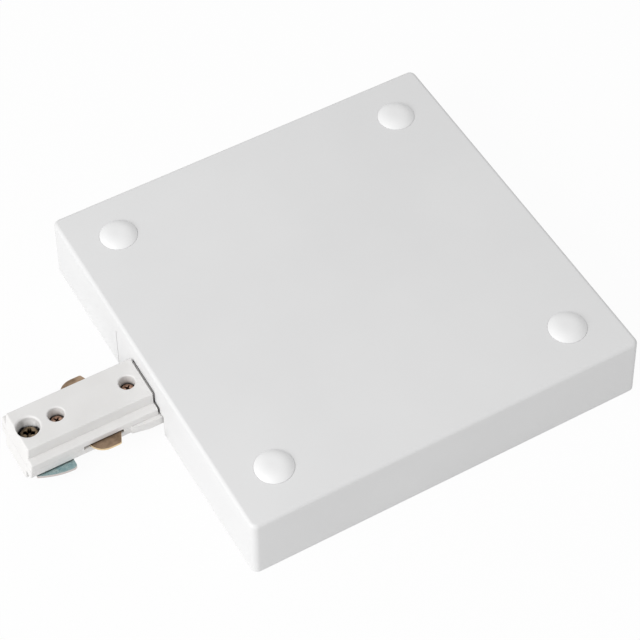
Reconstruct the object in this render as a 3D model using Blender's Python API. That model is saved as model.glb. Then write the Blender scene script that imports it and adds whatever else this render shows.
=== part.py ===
# Live-end power feed for a three-wire lighting track, with a square outlet-box canopy.
# Metres, +Z towards the canopy's face. The feed lies rim down and its plug leaves along -X.
# The origin is the bottom centre of the whole object.
import math

import bmesh
import bpy
from mathutils import Matrix, Vector

SEAT = 0.0003                  # air between parts that touch
RUNNING = 0.00008              # air round the turning lock screw
OVERRUN = 0.002                # how far a cut runs past a wall

CANOPY_SIDE = 0.130            # across the flat face
CANOPY_DEPTH = 0.0223
CANOPY_DRAFT = 0.0006          # each side is this much wider at the rim
CANOPY_WALL = 0.0022
FACE_FILLET = 0.0012
CORNER_RADIUS = 0.0022

BOSS_INSET = 0.0154            # centre of a corner screw boss from the edge of the face
BOSS_RADIUS = 0.0066
BOSS_WEB = 0.0016              # thickness of the webs from a boss to the walls
BOSS_WEB_DEPTH = 0.013         # how far the webs hang from the ceiling
WELL_RADIUS = 0.0050           # bore that holds a hole plug
WELL_FLOOR = 0.0019            # material under the head of a canopy screw
WELL_DEPTH = 0.0090            # from the face to the well's floor
RIM_RECESS = 0.0009            # depth of the shallow recess for the hole plug's flange

CAP_RADIUS = 0.00565
CAP_RISE = 0.0017              # the dome above the face
CAP_FLANGE = 0.0006
CAP_SKIRT = 0.0045             # from the face down to the skirt's end
CAP_WALL = 0.0009
CAP_BEAD = 0.00018
CAP_SLIT = 0.0012
CAP_SLIT_TOP = 0.0018

SEAM_OFFSET = 0.021            # moulded seam in the plug's wall, on the far side of the notch
SEAM_TOP = 0.0160
SEAM_WIDTH = 0.0003
SEAM_DEPTH = 0.0004

PLATE_CLEARANCE = 0.0048       # mounting plate from the canopy's walls
PLATE_THICKNESS = 0.0015
PLATE_CORNER = 0.004
WIRE_HOLE_RADIUS = 0.0111      # for a 7/8 inch wire bushing
BOX_SCREW_NEAR = 0.0335        # box screw slots cover 2 3/4 and 3 1/2 inch boxes
BOX_SCREW_FAR = 0.0460
BOX_SLOT_WIDTH = 0.0054
BOND_SCREW_X = 0.022
BOND_SCREW_Y = -0.030

PLUG_REACH = 0.0429            # tip beyond the rim
PLUG_OFFSET = 0.0028           # the plug's centre line from the canopy's
PLUG_TOP = 0.0153
PLUG_BOTTOM = 0.0018
NECK_WIDTH = 0.0152            # fits the mouth of the track
LEDGE_Z = 0.0109
BODY_WIDTH = 0.0208
BODY_BOTTOM = 0.0052
KEEL_WIDTH = 0.0144
PARTING_Z = 0.0081             # plane between the two mouldings, through the contacts
NOSE_SLANT = 0.0020            # the nose's foot stands this far ahead of its top edge
NOSE_FILLET = 0.0005
SHOULDER_WIDTH = 0.0236
SHOULDER_REACH = 0.0096        # shoulder outside the rim
SHOULDER_START = 0.0003        # how proud the shoulder's outer end stands
SHOULDER_RAMP = 0.0055
INNER_LENGTH = 0.038           # plug body inside the canopy
COLLAR_GAP = 0.00025           # plug's outer part from the canopy's rim
GROOVE_DEPTH = 0.0012          # groove in the plug that takes the edge of the notch
NOTCH_PLAY = 0.0006            # notch round the plug

LOCK_SETBACK = 0.0057          # lock screw from the tip
LOCK_WELL_RADIUS = 0.0035
LOCK_WELL_ROUND = 0.0008       # rounded rim of the well
LOCK_HEAD_DEPTH = 0.0031       # from the plug's top down to the head
LOCK_HEAD_TURN = -29           # degrees that the cross recess is turned
LOCK_HEAD_HEIGHT = 0.0019
LOCK_SHANK_RADIUS = 0.00175
LOCK_TRAVEL = 0.0012           # how far the ground blade runs down the screw

FRONT_SCREW_SETBACK = 0.0147   # housing screws: one from the tip, one from the rim
REAR_SCREW_SETBACK = 0.0051
HOUSING_WELL_RADIUS = 0.0025
HOUSING_WELL_ROUND = 0.0005
HOUSING_WELL_DEPTH = 0.0049
HOUSING_HEAD_HEIGHT = 0.0016
HOUSING_SHANK_RADIUS = 0.0013
HOUSING_SCREW_FOOT = 0.0030

STRIP_THICKNESS = 0.0008
STRIP_NEAR = 0.0066            # contact strips from the plug's centre line
STRIP_FAR = 0.0090
TAB_SETBACK = 0.0200           # contact tab from the tip
TAB_LENGTH = 0.0102
TAB_REACH = 0.0037             # out of the body's side
TAB_ROUND = 0.0052
TAB_SLANT = 0.0013             # the inner end leans this far towards the tip
TAB_NIP = 0.0008
WINDOW_SPARE = 0.0019          # the window's spare length towards the tip
WINDOW_SPARE_BACK = 0.0009

BLADE_THICKNESS = 0.0008
BLADE_SETBACK = 0.0026         # ground blade from the tip
BLADE_LENGTH = 0.0119
BLADE_REACH = 0.0028
BLADE_NIP = 0.0010
BLADE_NUT_RADIUS = 0.0032      # blade round the lock screw
BLADE_WING = 0.0082            # inner edge of the wing from the centre line

GROUND_NEAR = 0.0028           # ground strip from the centre line
GROUND_FAR = 0.0052
GROUND_LEG_SETBACK = 0.0072

WIRE_CHANNEL = 0.0066          # width of each of the three wire channels
BAY_RIB = 0.0014               # rib between two channels
BAY_WALL = 0.0017
BAY_LENGTH = 0.0325
TERMINAL_PLAY = 0.0004         # terminal pad from the channel's sides
TERMINAL_HEAD_HEIGHT = 0.0019
TERMINAL_SHANK_RADIUS = 0.0014
TERMINAL_FOOT = 0.0036
POWER_TERMINAL_SETBACK = 0.0155    # from the plug's inner end
GROUND_TERMINAL_SETBACK = 0.0255

EAR_REACH = 0.0080
EAR_LENGTH = 0.0100
EAR_THICKNESS = 0.0026
EAR_SETBACK = 0.0320           # ear's centre from the plug's inner end

SCREW_HEAD_RADIUS = 0.0034     # canopy and plate screws
SCREW_HEAD_HEIGHT = 0.0021
SCREW_SHANK_RADIUS = 0.00175
BOND_HEAD_RADIUS = 0.0042
BOND_SHANK_RADIUS = 0.0019
RECESS_WIDTH = 0.3             # cross recess, as shares of the screw head
RECESS_SPAN = 0.62
RECESS_DEPTH = 0.6

ROUND_STEPS = 36
SMALL_STEPS = 20

# Places that follow from the sizes above, seen from the centre of the canopy
rim_half = CANOPY_SIDE / 2 + CANOPY_DRAFT
nose_angle = math.atan2(NOSE_SLANT, PLUG_TOP - PLUG_BOTTOM)
canopy_x = (PLUG_REACH - NOSE_FILLET * math.sin(nose_angle)) / 2
tip_x = -(rim_half + PLUG_REACH)
inner_wall_x = -(CANOPY_SIDE / 2 - CANOPY_WALL)
inner_start_x = inner_wall_x + 2 * SEAT
inner_end_x = inner_start_x + INNER_LENGTH
boss_offset = CANOPY_SIDE / 2 - BOSS_INSET
plate_top = PLATE_THICKNESS
plate_half = CANOPY_SIDE / 2 - CANOPY_WALL - PLATE_CLEARANCE
well_floor_z = CANOPY_DEPTH - WELL_DEPTH
collar_x = -(rim_half + COLLAR_GAP)
inner_half = 1.5 * WIRE_CHANNEL + BAY_RIB + BAY_WALL
terminal_pad = WIRE_CHANNEL - 2 * TERMINAL_PLAY
power_terminal_y = WIRE_CHANNEL + BAY_RIB
housing_bottom = PARTING_Z + SEAT / 2
base_top = PARTING_Z - SEAT / 2
strip_low = PARTING_Z - STRIP_THICKNESS / 2
strip_high = PARTING_Z + STRIP_THICKNESS / 2
lock_x = tip_x + LOCK_SETBACK
front_screw_x = tip_x + FRONT_SCREW_SETBACK
rear_screw_x = -(rim_half + REAR_SCREW_SETBACK)
power_terminal_x = inner_end_x - POWER_TERMINAL_SETBACK
ground_terminal_x = inner_end_x - GROUND_TERMINAL_SETBACK
bay_front_x = inner_end_x - BAY_LENGTH
ear_x = inner_end_x - EAR_SETBACK
ear_y = inner_half + EAR_REACH / 2
lock_head_bottom = PLUG_TOP - LOCK_HEAD_DEPTH - LOCK_HEAD_HEIGHT
blade_high = BODY_BOTTOM - SEAT
blade_low = blade_high - BLADE_THICKNESS
blade_pocket_floor = blade_low - LOCK_TRAVEL - SEAT
housing_seat_z = PLUG_TOP - HOUSING_WELL_DEPTH


def empty_scene():
    for item in list(bpy.data.objects):
        bpy.data.objects.remove(item, do_unlink=True)


def material(name, colour, roughness, metallic=0.0):
    surface = bpy.data.materials.new(name)
    surface.use_nodes = True
    shader = surface.node_tree.nodes["Principled BSDF"]
    shader.inputs["Base Color"].default_value = (*colour, 1.0)
    shader.inputs["Roughness"].default_value = roughness
    shader.inputs["Metallic"].default_value = metallic
    surface.diffuse_color = (*colour, 1.0)
    return surface


def to_mesh(shape):
    bmesh.ops.recalc_face_normals(shape, faces=shape.faces)
    mesh = bpy.data.meshes.new("solid")
    shape.to_mesh(mesh)
    shape.free()
    return mesh


# An outline pushed along an axis. Its points are the other two coordinates, in X, Y, Z order.
def prism(outline, low, high, axis="Z"):
    turn = {"X": lambda a, b: (low, a, b), "Y": lambda a, b: (a, low, b), "Z": lambda a, b: (a, b, low)}
    along = {"X": Vector((1, 0, 0)), "Y": Vector((0, 1, 0)), "Z": Vector((0, 0, 1))}
    shape = bmesh.new()
    start = shape.faces.new([shape.verts.new(turn[axis](a, b)) for a, b in outline])
    grown = bmesh.ops.extrude_face_region(shape, geom=[start])
    tops = [item for item in grown["geom"] if isinstance(item, bmesh.types.BMVert)]
    bmesh.ops.translate(shape, verts=tops, vec=along[axis] * (high - low))
    return to_mesh(shape)


def box(x, y, z):
    return prism([(x[0], y[0]), (x[1], y[0]), (x[1], y[1]), (x[0], y[1])], z[0], z[1])


# A profile of (radius, height) points turned about the vertical through (x, y).
def turned(profile, x=0.0, y=0.0, steps=ROUND_STEPS):
    shape = bmesh.new()
    points = [shape.verts.new((radius, 0.0, height)) for radius, height in profile]
    edges = [shape.edges.new(pair) for pair in zip(points, points[1:])]
    bmesh.ops.spin(shape, geom=points + edges, cent=(0, 0, 0), axis=(0, 0, 1), angle=2 * math.pi,
                   steps=steps, use_merge=True, use_duplicate=False)
    bmesh.ops.remove_doubles(shape, verts=shape.verts, dist=1e-6)
    bmesh.ops.translate(shape, verts=shape.verts, vec=(x, y, 0))
    return to_mesh(shape)


def rod(radius, low, high, x=0.0, y=0.0, steps=SMALL_STEPS):
    return turned([(0, high), (radius, high), (radius, low), (0, low)], x, y, steps)


# One mesh combined with others, by a Boolean that is applied at once.
def combined(mesh, tools, operation):
    body = bpy.data.objects.new("body", mesh)
    bpy.context.collection.objects.link(body)
    helpers = []
    for tool in tools:
        helper = bpy.data.objects.new("tool", tool)
        bpy.context.collection.objects.link(helper)
        step = body.modifiers.new("step", "BOOLEAN")
        step.operation = operation
        step.solver = "EXACT"
        step.object = helper
        helpers.append(helper)
    ready = body.evaluated_get(bpy.context.evaluated_depsgraph_get())
    result = bpy.data.meshes.new_from_object(ready)
    for helper in helpers + [body]:
        bpy.data.objects.remove(helper, do_unlink=True)
    return tidied(result)


def tidied(mesh):
    shape = bmesh.new()
    shape.from_mesh(mesh)
    bmesh.ops.remove_doubles(shape, verts=shape.verts, dist=1e-6)
    bmesh.ops.dissolve_limit(shape, angle_limit=math.radians(0.5), verts=shape.verts, edges=shape.edges)
    shape.to_mesh(mesh)
    shape.free()
    return mesh


def cut(mesh, tools):
    return combined(mesh, tools, "DIFFERENCE")


def joined(mesh, tools):
    return combined(mesh, tools, "UNION")


# Rounds the outer edges that the test picks.
def filleted(mesh, radius, steps, picks):
    shape = bmesh.new()
    shape.from_mesh(mesh)
    edges = [edge for edge in shape.edges
             if len(edge.link_faces) == 2 and edge.calc_face_angle_signed() > 0.5 and picks(edge)]
    bmesh.ops.bevel(shape, geom=edges, offset=radius, offset_type="OFFSET", segments=steps, profile=0.5,
                    affect="EDGES", clamp_overlap=True, material=-1)
    return to_mesh(shape)


def edge_is_level(edge, height):
    return all(abs(point.co.z - height) < 1e-6 for point in edge.verts)


def edge_is_upright(edge):
    return abs(edge.verts[0].co.z - edge.verts[1].co.z) > 0.001


def placed(name, mesh, surface, parent, location=(0, 0, 0), smooth=False):
    if smooth:
        mesh.shade_smooth()
        mesh.set_sharp_from_angle(angle=math.radians(30))
    mesh.materials.clear()
    mesh.materials.append(surface)
    mesh.name = name
    item = bpy.data.objects.new(name, mesh)
    item.location = location
    item.parent = parent
    bpy.context.collection.objects.link(item)
    return item


def datum(name, location):
    empty = bpy.data.objects.new(name, None)
    empty.location = location
    bpy.context.collection.objects.link(empty)
    return empty


def corners():
    return [(sx * boss_offset, sy * boss_offset) for sx, sy in ((-1, -1), (1, -1), (1, 1), (-1, 1))]


# A square block whose sides lean outwards towards its foot.
def drafted_block(top_half, foot_half, low, high):
    shape = bmesh.new()
    bmesh.ops.create_cube(shape, size=2.0)
    for point in shape.verts:
        half = top_half if point.co.z > 0 else foot_half
        point.co = Vector((point.co.x * half, point.co.y * half, high if point.co.z > 0 else low))
    return to_mesh(shape)


def canopy_shell():
    outer = drafted_block(CANOPY_SIDE / 2, rim_half, 0.0, CANOPY_DEPTH)
    outer = filleted(outer, CORNER_RADIUS, 5, edge_is_upright)
    outer = filleted(outer, FACE_FILLET, 4, lambda edge: edge_is_level(edge, CANOPY_DEPTH))
    slope = CANOPY_DRAFT / CANOPY_DEPTH
    ceiling = CANOPY_DEPTH - CANOPY_WALL
    inner = drafted_block(CANOPY_SIDE / 2 - CANOPY_WALL + slope * CANOPY_WALL,
                          rim_half - CANOPY_WALL + slope * OVERRUN, -OVERRUN, ceiling)
    inner = filleted(inner, CORNER_RADIUS / 2, 3, edge_is_upright)
    return cut(outer, [inner])


# A hollow post for one corner screw, tied to the two nearest walls by webs.
def boss_parts(x, y):
    root = CANOPY_DEPTH - CANOPY_WALL / 2
    web_foot = CANOPY_DEPTH - CANOPY_WALL - BOSS_WEB_DEPTH
    web_end = CANOPY_SIDE / 2 - CANOPY_WALL / 2
    side_x = math.copysign(1, x)
    side_y = math.copysign(1, y)
    across = sorted((x, side_x * web_end))
    upward = sorted((y, side_y * web_end))
    half = BOSS_WEB / 2
    return [rod(BOSS_RADIUS, plate_top + SEAT, root, x, y, ROUND_STEPS),
            box(across, (y - half, y + half), (web_foot, root)),
            box((x - half, x + half), upward, (web_foot, root))]


# Stepped hole for a hole plug and the canopy screw under it.
def corner_hole(x, y):
    flange = CAP_RADIUS + SEAT
    shank = SCREW_SHANK_RADIUS + SEAT
    recess_floor = CANOPY_DEPTH - RIM_RECESS
    profile = [(0, CANOPY_DEPTH + OVERRUN), (flange, CANOPY_DEPTH + OVERRUN), (flange, recess_floor),
               (WELL_RADIUS, recess_floor), (WELL_RADIUS, well_floor_z), (shank, well_floor_z),
               (shank, -OVERRUN), (0, -OVERRUN)]
    return turned(profile, x, y)


def mirrored(right):
    return right + [(-across, height) for across, height in reversed(right)]


# Half of the housing's section inside its groove, moved out by the given play.
def groove_section(foot, play):
    inset = GROOVE_DEPTH - play
    body = BODY_WIDTH / 2 - inset
    neck = NECK_WIDTH / 2 - inset
    return [(body, foot), (body, LEDGE_Z - inset), (neck, LEDGE_Z - inset), (neck, PLUG_TOP - inset)]


def notch_outline():
    shoulder = SHOULDER_WIDTH / 2 + NOTCH_PLAY
    step = base_top + NOTCH_PLAY
    right = [(shoulder, -OVERRUN), (shoulder, step)] + groove_section(step, NOTCH_PLAY)
    return [(PLUG_OFFSET + across, height) for across, height in mirrored(right)]


def wall_x(height):
    return -(rim_half - CANOPY_DRAFT * height / CANOPY_DEPTH)


# The thin upright seam, at one depth in the leaning wall.
def wall_seam():
    low = -OVERRUN
    outline = [(wall_x(low) - OVERRUN, low), (wall_x(low) + SEAM_DEPTH, low),
               (wall_x(SEAM_TOP) + SEAM_DEPTH, SEAM_TOP), (wall_x(SEAM_TOP) - OVERRUN, SEAM_TOP)]
    return prism(outline, SEAM_OFFSET - SEAM_WIDTH / 2, SEAM_OFFSET + SEAM_WIDTH / 2, "Y")


def make_canopy(parent, surface):
    shell = canopy_shell()
    for x, y in corners():
        shell = joined(shell, boss_parts(x, y))
    shell = cut(shell, [corner_hole(x, y) for x, y in corners()])
    notch = prism(notch_outline(), wall_x(0) - OVERRUN, inner_wall_x + SEAT, "X")
    shell = cut(shell, [notch, wall_seam()])
    placed("canopy_cover", shell, surface, parent, smooth=True)


# Domed snap-in plug: dome, flange and a split skirt with a bead. Its zero is the canopy's face.
def hole_plug_mesh():
    dome = []
    rim = 0.0002
    for step in range(6):
        share = step / 5
        dome.append((CAP_RADIUS * share, rim + (CAP_RISE - rim) * (1 - share ** 2.4)))
    skirt = WELL_RADIUS - SEAT
    hollow = skirt - CAP_WALL
    profile = dome + [(CAP_RADIUS, -CAP_FLANGE), (skirt, -CAP_FLANGE),
                      (skirt, -CAP_SKIRT + 0.0012), (skirt + CAP_BEAD, -CAP_SKIRT + 0.0008),
                      (skirt - CAP_BEAD, -CAP_SKIRT), (hollow, -CAP_SKIRT), (hollow, -CAP_FLANGE), (0, -CAP_FLANGE)]
    plug = turned(profile, steps=24)
    half = CAP_SLIT / 2
    reach = CAP_RADIUS + OVERRUN
    depth = (-CAP_SKIRT - OVERRUN, -CAP_SLIT_TOP)
    return cut(plug, [box((-reach, reach), (-half, half), depth), box((-half, half), (-reach, reach), depth)])


# Cross recess that narrows towards its bottom, cut into a head from above.
def cross_recess(radius, top, height, turn):
    arm = radius * RECESS_SPAN
    half = radius * RECESS_WIDTH / 2
    outline = [(arm, -half), (arm, half), (half, half), (half, arm), (-half, arm), (-half, half),
               (-arm, half), (-arm, -half), (-half, -half), (-half, -arm), (half, -arm), (half, -half)]
    floor = top - height * RECESS_DEPTH
    mesh = prism(outline, floor, top + OVERRUN / 4)
    for point in mesh.vertices:
        if point.co.z < floor + 1e-6:
            point.co.x *= 0.7
            point.co.y *= 0.7
    mesh.transform(Matrix.Rotation(math.radians(turn), 4, "Z"))
    return mesh


# Pan-head machine screw. Its zero is the underside of the head.
def screw_mesh(head, height, shank, length, steps=SMALL_STEPS, turn=0):
    crown = [(0, height), (head * 0.62, height * 0.97), (head * 0.88, height * 0.78), (head, height * 0.35)]
    point = shank * 0.35
    profile = crown + [(head, 0), (shank, 0), (shank, point - length), (shank - point, -length), (0, -length)]
    return cut(turned(profile, steps=steps), [cross_recess(head, height, height, turn)])


def make_corner_fasteners(parent, cap_surface, screw_surface):
    head_z = well_floor_z + SEAT
    screw = screw_mesh(SCREW_HEAD_RADIUS, SCREW_HEAD_HEIGHT, SCREW_SHANK_RADIUS, head_z - SEAT, 20)
    for number, (x, y) in enumerate(corners(), start=1):
        placed(f"hole_plug_{number}", hole_plug_mesh(), cap_surface, parent, (x, y, CANOPY_DEPTH), True)
        placed(f"canopy_screw_{number}", screw.copy(), screw_surface, parent, (x, y, head_z), True)


def rounded_square(half, radius, steps=4):
    points = []
    for turn, (sx, sy) in enumerate(((1, 1), (-1, 1), (-1, -1), (1, -1))):
        for step in range(steps + 1):
            angle = math.radians(90 * (turn + step / steps))
            points.append((sx * (half - radius) + radius * math.cos(angle),
                           sy * (half - radius) + radius * math.sin(angle)))
    return points


# Slot with round ends, along Y.
def slot_outline(x, near, far, width, steps=8):
    radius = width / 2
    low, high = sorted((near, far))
    points = []
    for centre, start in ((high - radius, 0), (low + radius, 180)):
        for step in range(steps + 1):
            angle = math.radians(start + 180 * step / steps)
            points.append((x + radius * math.cos(angle), centre + radius * math.sin(angle)))
    return points


def make_plate(parent, steel, green):
    depth = (-OVERRUN, plate_top + OVERRUN)
    hole = SCREW_SHANK_RADIUS + SEAT
    plate = prism(rounded_square(plate_half, PLATE_CORNER), 0.0, plate_top)
    holes = [rod(hole, *depth, x, y) for x, y in corners()]
    holes += [rod(hole, *depth, ear_x, PLUG_OFFSET + side * ear_y) for side in (-1, 1)]
    holes.append(rod(BOND_SHANK_RADIUS + SEAT, *depth, BOND_SCREW_X, BOND_SCREW_Y))
    holes.append(rod(WIRE_HOLE_RADIUS, *depth, 0, 0, ROUND_STEPS))
    holes += [prism(slot_outline(0, side * BOX_SCREW_NEAR, side * BOX_SCREW_FAR, BOX_SLOT_WIDTH), *depth)
              for side in (-1, 1)]
    placed("mounting_plate", cut(plate, holes), steel, parent)
    bond_z = plate_top + SEAT
    bond = screw_mesh(BOND_HEAD_RADIUS, SCREW_HEAD_HEIGHT, BOND_SHANK_RADIUS, bond_z - SEAT)
    placed("ground_screw", bond, green, parent, (BOND_SCREW_X, BOND_SCREW_Y, bond_z), True)


# Nose of the plug: its foot stands ahead of its top edge.
def lean_nose(mesh):
    for point in mesh.vertices:
        if point.co.x < tip_x + 1e-6:
            drop = (PLUG_TOP - point.co.z) / (PLUG_TOP - PLUG_BOTTOM)
            point.co.x = tip_x + NOSE_SLANT * (1 - drop)
    return mesh


def strip_channel(side, low, high):
    near, far = sorted((side * (STRIP_NEAR - SEAT), side * (STRIP_FAR + SEAT)))
    start = tip_x + TAB_SETBACK - WINDOW_SPARE
    outward = sorted((side * STRIP_NEAR, side * (BODY_WIDTH / 2 + OVERRUN)))
    window_end = tip_x + TAB_SETBACK + TAB_LENGTH + WINDOW_SPARE_BACK
    return [box((start, power_terminal_x), (near, far), (low, high)),
            box((start, window_end), outward, (low, high))]


def ground_channel(low, high):
    start = tip_x + GROUND_LEG_SETBACK - SEAT
    end = ground_terminal_x + terminal_pad / 2 + SEAT
    return [box((start, end), (-GROUND_FAR - SEAT, -GROUND_NEAR + SEAT), (low, high))]


# Three wire channels, open at the top and at the inner end.
def wire_bay():
    depth = (housing_bottom - OVERRUN, PLUG_TOP + OVERRUN)
    end = inner_end_x + OVERRUN
    half_middle = WIRE_CHANNEL / 2
    near = half_middle + BAY_RIB
    far = near + WIRE_CHANNEL
    return [box((bay_front_x, end), (-half_middle, half_middle), depth),
            box((bay_front_x + BAY_WALL, end), (near, far), depth),
            box((bay_front_x + BAY_WALL, end), (-far, -near), depth)]


# Tool for a round well in the plug's top, whose rim is rounded over.
def well(radius, rounding, floor, x):
    profile = [(0, PLUG_TOP + OVERRUN), (radius + rounding, PLUG_TOP + OVERRUN)]
    for step in range(4):
        angle = math.radians(30 * step)
        profile.append((radius + rounding * (1 - math.sin(angle)), PLUG_TOP - rounding * (1 - math.cos(angle))))
    return turned(profile + [(radius, floor), (0, floor)], x, 0)


def make_housing(parent, surface):
    section = mirrored([(BODY_WIDTH / 2, housing_bottom), (BODY_WIDTH / 2, LEDGE_Z),
                        (NECK_WIDTH / 2, LEDGE_Z), (NECK_WIDTH / 2, PLUG_TOP)])
    front = lean_nose(prism(section, tip_x, collar_x, "X"))
    front = filleted(front, NOSE_FILLET, 3, lambda edge: not edge_is_level(edge, housing_bottom)
                     and min(point.co.x for point in edge.verts) < collar_x - NOSE_FILLET)
    core = prism(mirrored(groove_section(housing_bottom, 0)), collar_x - OVERRUN, inner_start_x + OVERRUN, "X")
    rear = box((inner_start_x, inner_end_x), (-inner_half, inner_half), (housing_bottom, PLUG_TOP))
    rear = filleted(rear, NOSE_FILLET, 3, edge_is_upright)
    body = joined(front, [core, rear])
    clear = (housing_bottom - OVERRUN, PLUG_TOP + OVERRUN)
    wells = [well(LOCK_WELL_RADIUS, LOCK_WELL_ROUND, lock_head_bottom - RUNNING, lock_x),
             rod(LOCK_SHANK_RADIUS + RUNNING, *clear, lock_x, 0)]
    for x in (front_screw_x, rear_screw_x):
        wells.append(well(HOUSING_WELL_RADIUS, HOUSING_WELL_ROUND, housing_seat_z, x))
        wells.append(rod(HOUSING_SHANK_RADIUS + SEAT, *clear, x, 0))
    channels = ground_channel(housing_bottom - OVERRUN, strip_high + SEAT)
    for side in (-1, 1):
        channels += strip_channel(side, housing_bottom - OVERRUN, strip_high + SEAT)
    placed("plug_housing", cut(body, wire_bay() + wells + channels), surface, parent, smooth=True)


def base_pockets():
    floor = strip_low - SEAT
    ceiling = base_top + OVERRUN
    pad = terminal_pad / 2 + SEAT
    pockets = ground_channel(floor, ceiling)
    pockets.append(box((ground_terminal_x - pad, ground_terminal_x + pad), (-pad, pad), (floor, ceiling)))
    for side in (-1, 1):
        pockets += strip_channel(side, floor, ceiling)
        y = side * power_terminal_y
        pockets.append(box((power_terminal_x - pad, power_terminal_x + pad), (y - pad, y + pad), (floor, ceiling)))
    return pockets


def base_bores():
    ceiling = base_top + OVERRUN
    terminal = TERMINAL_SHANK_RADIUS + SEAT
    bores = [rod(LOCK_SHANK_RADIUS + RUNNING, blade_low, ceiling, lock_x, 0)]
    bores += [rod(HOUSING_SHANK_RADIUS + SEAT, HOUSING_SCREW_FOOT - SEAT, ceiling, x, 0)
              for x in (front_screw_x, rear_screw_x)]
    bores.append(rod(terminal, TERMINAL_FOOT - SEAT, ceiling, ground_terminal_x, 0))
    for side in (-1, 1):
        bores.append(rod(terminal, TERMINAL_FOOT - SEAT, ceiling, power_terminal_x, side * power_terminal_y))
        bores.append(rod(SCREW_SHANK_RADIUS + SEAT, -OVERRUN, ceiling, ear_x, side * ear_y))
    return bores


# Cross pocket in the keel for the ground blade, and the hole for the ground strip's leg.
def blade_pocket():
    half = BLADE_NUT_RADIUS + SEAT
    leg = (tip_x + GROUND_LEG_SETBACK - SEAT, tip_x + GROUND_LEG_SETBACK + STRIP_THICKNESS + SEAT)
    return [box((lock_x - half, lock_x + half), (-BODY_WIDTH, half), (blade_pocket_floor, BODY_BOTTOM)),
            box(leg, (-GROUND_FAR - SEAT, -GROUND_NEAR + SEAT), (blade_low, base_top))]


# The shoulder widens towards the canopy.
def shoulder_outline():
    start = -(rim_half + SHOULDER_REACH)
    wide = SHOULDER_WIDTH / 2
    right = [(start, BODY_WIDTH / 2 + SHOULDER_START), (start + SHOULDER_RAMP, wide), (inner_start_x + OVERRUN, wide)]
    return right + [(x, -y) for x, y in reversed(right)]


def make_base(parent, surface):
    body = lean_nose(prism(mirrored([(KEEL_WIDTH / 2, PLUG_BOTTOM), (KEEL_WIDTH / 2, BODY_BOTTOM),
                                     (BODY_WIDTH / 2, BODY_BOTTOM), (BODY_WIDTH / 2, base_top)]),
                           tip_x, inner_end_x, "X"))
    body = filleted(body, NOSE_FILLET, 3, lambda edge: not edge_is_level(edge, base_top))
    shoulder = filleted(prism(shoulder_outline(), BODY_BOTTOM, base_top), NOSE_FILLET, 3, edge_is_upright)
    rear = box((inner_start_x, inner_end_x), (-inner_half, inner_half), (PLUG_BOTTOM, base_top))
    rear = filleted(rear, NOSE_FILLET, 3, edge_is_upright)
    reach = inner_half + EAR_REACH
    ears = box((ear_x - EAR_LENGTH / 2, ear_x + EAR_LENGTH / 2), (-reach, reach),
               (PLUG_BOTTOM, PLUG_BOTTOM + EAR_THICKNESS))
    ears = filleted(ears, EAR_LENGTH / 3, 5, edge_is_upright)
    body = joined(body, [shoulder, rear, ears])
    placed("plug_base", cut(body, base_pockets() + base_bores() + blade_pocket()), surface, parent, smooth=True)


# Flat brass strip: a tab with one quarter-round corner, the strip, and a terminal pad.
def contact_outline(side):
    tab_far = BODY_WIDTH / 2 + TAB_REACH
    tab_start = tip_x + TAB_SETBACK
    tab_end = tab_start + TAB_LENGTH
    pad = terminal_pad / 2
    points = [(tab_start, STRIP_NEAR)]
    for step in range(9):
        angle = math.radians(90 * step / 8)
        points.append((tab_start + TAB_ROUND * (1 - math.cos(angle)),
                       tab_far - (tab_far - STRIP_FAR) * (1 - math.sin(angle))))
    corner_x = tab_end - TAB_SLANT
    points += [(corner_x - TAB_NIP, tab_far), (corner_x - TAB_NIP / 3, tab_far - TAB_NIP / 4),
               (corner_x, tab_far - TAB_NIP), (tab_end, BODY_WIDTH / 2), (tab_end, STRIP_FAR),
               (power_terminal_x - pad, STRIP_FAR), (power_terminal_x - pad, power_terminal_y + pad),
               (power_terminal_x + pad, power_terminal_y + pad), (power_terminal_x + pad, power_terminal_y - pad),
               (power_terminal_x - pad, power_terminal_y - pad), (power_terminal_x - pad, STRIP_NEAR)]
    return [(x, side * y) for x, y in points]


def make_contacts(parent, brass):
    for name, side in (("line_contact", -1), ("neutral_contact", 1)):
        strip = prism(contact_outline(side), strip_low, strip_high)
        hole = rod(TERMINAL_SHANK_RADIUS + SEAT, strip_low - OVERRUN, strip_high + OVERRUN,
                   power_terminal_x, side * power_terminal_y)
        placed(name, cut(strip, [hole]), brass, parent)


def make_ground_strip(parent, brass):
    start = tip_x + GROUND_LEG_SETBACK
    pad = terminal_pad / 2
    outline = [(start, -GROUND_FAR), (ground_terminal_x + pad, -GROUND_FAR), (ground_terminal_x + pad, pad),
               (ground_terminal_x - pad, pad), (ground_terminal_x - pad, -GROUND_NEAR), (start, -GROUND_NEAR)]
    strip = prism(outline, strip_low, strip_high)
    leg = box((start, start + STRIP_THICKNESS), (-GROUND_FAR, -GROUND_NEAR), (BODY_BOTTOM, strip_high))
    hole = rod(TERMINAL_SHANK_RADIUS + SEAT, strip_low - OVERRUN, strip_high + OVERRUN, ground_terminal_x, 0)
    placed("ground_strip", cut(joined(strip, [leg]), [hole]), brass, parent)


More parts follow.
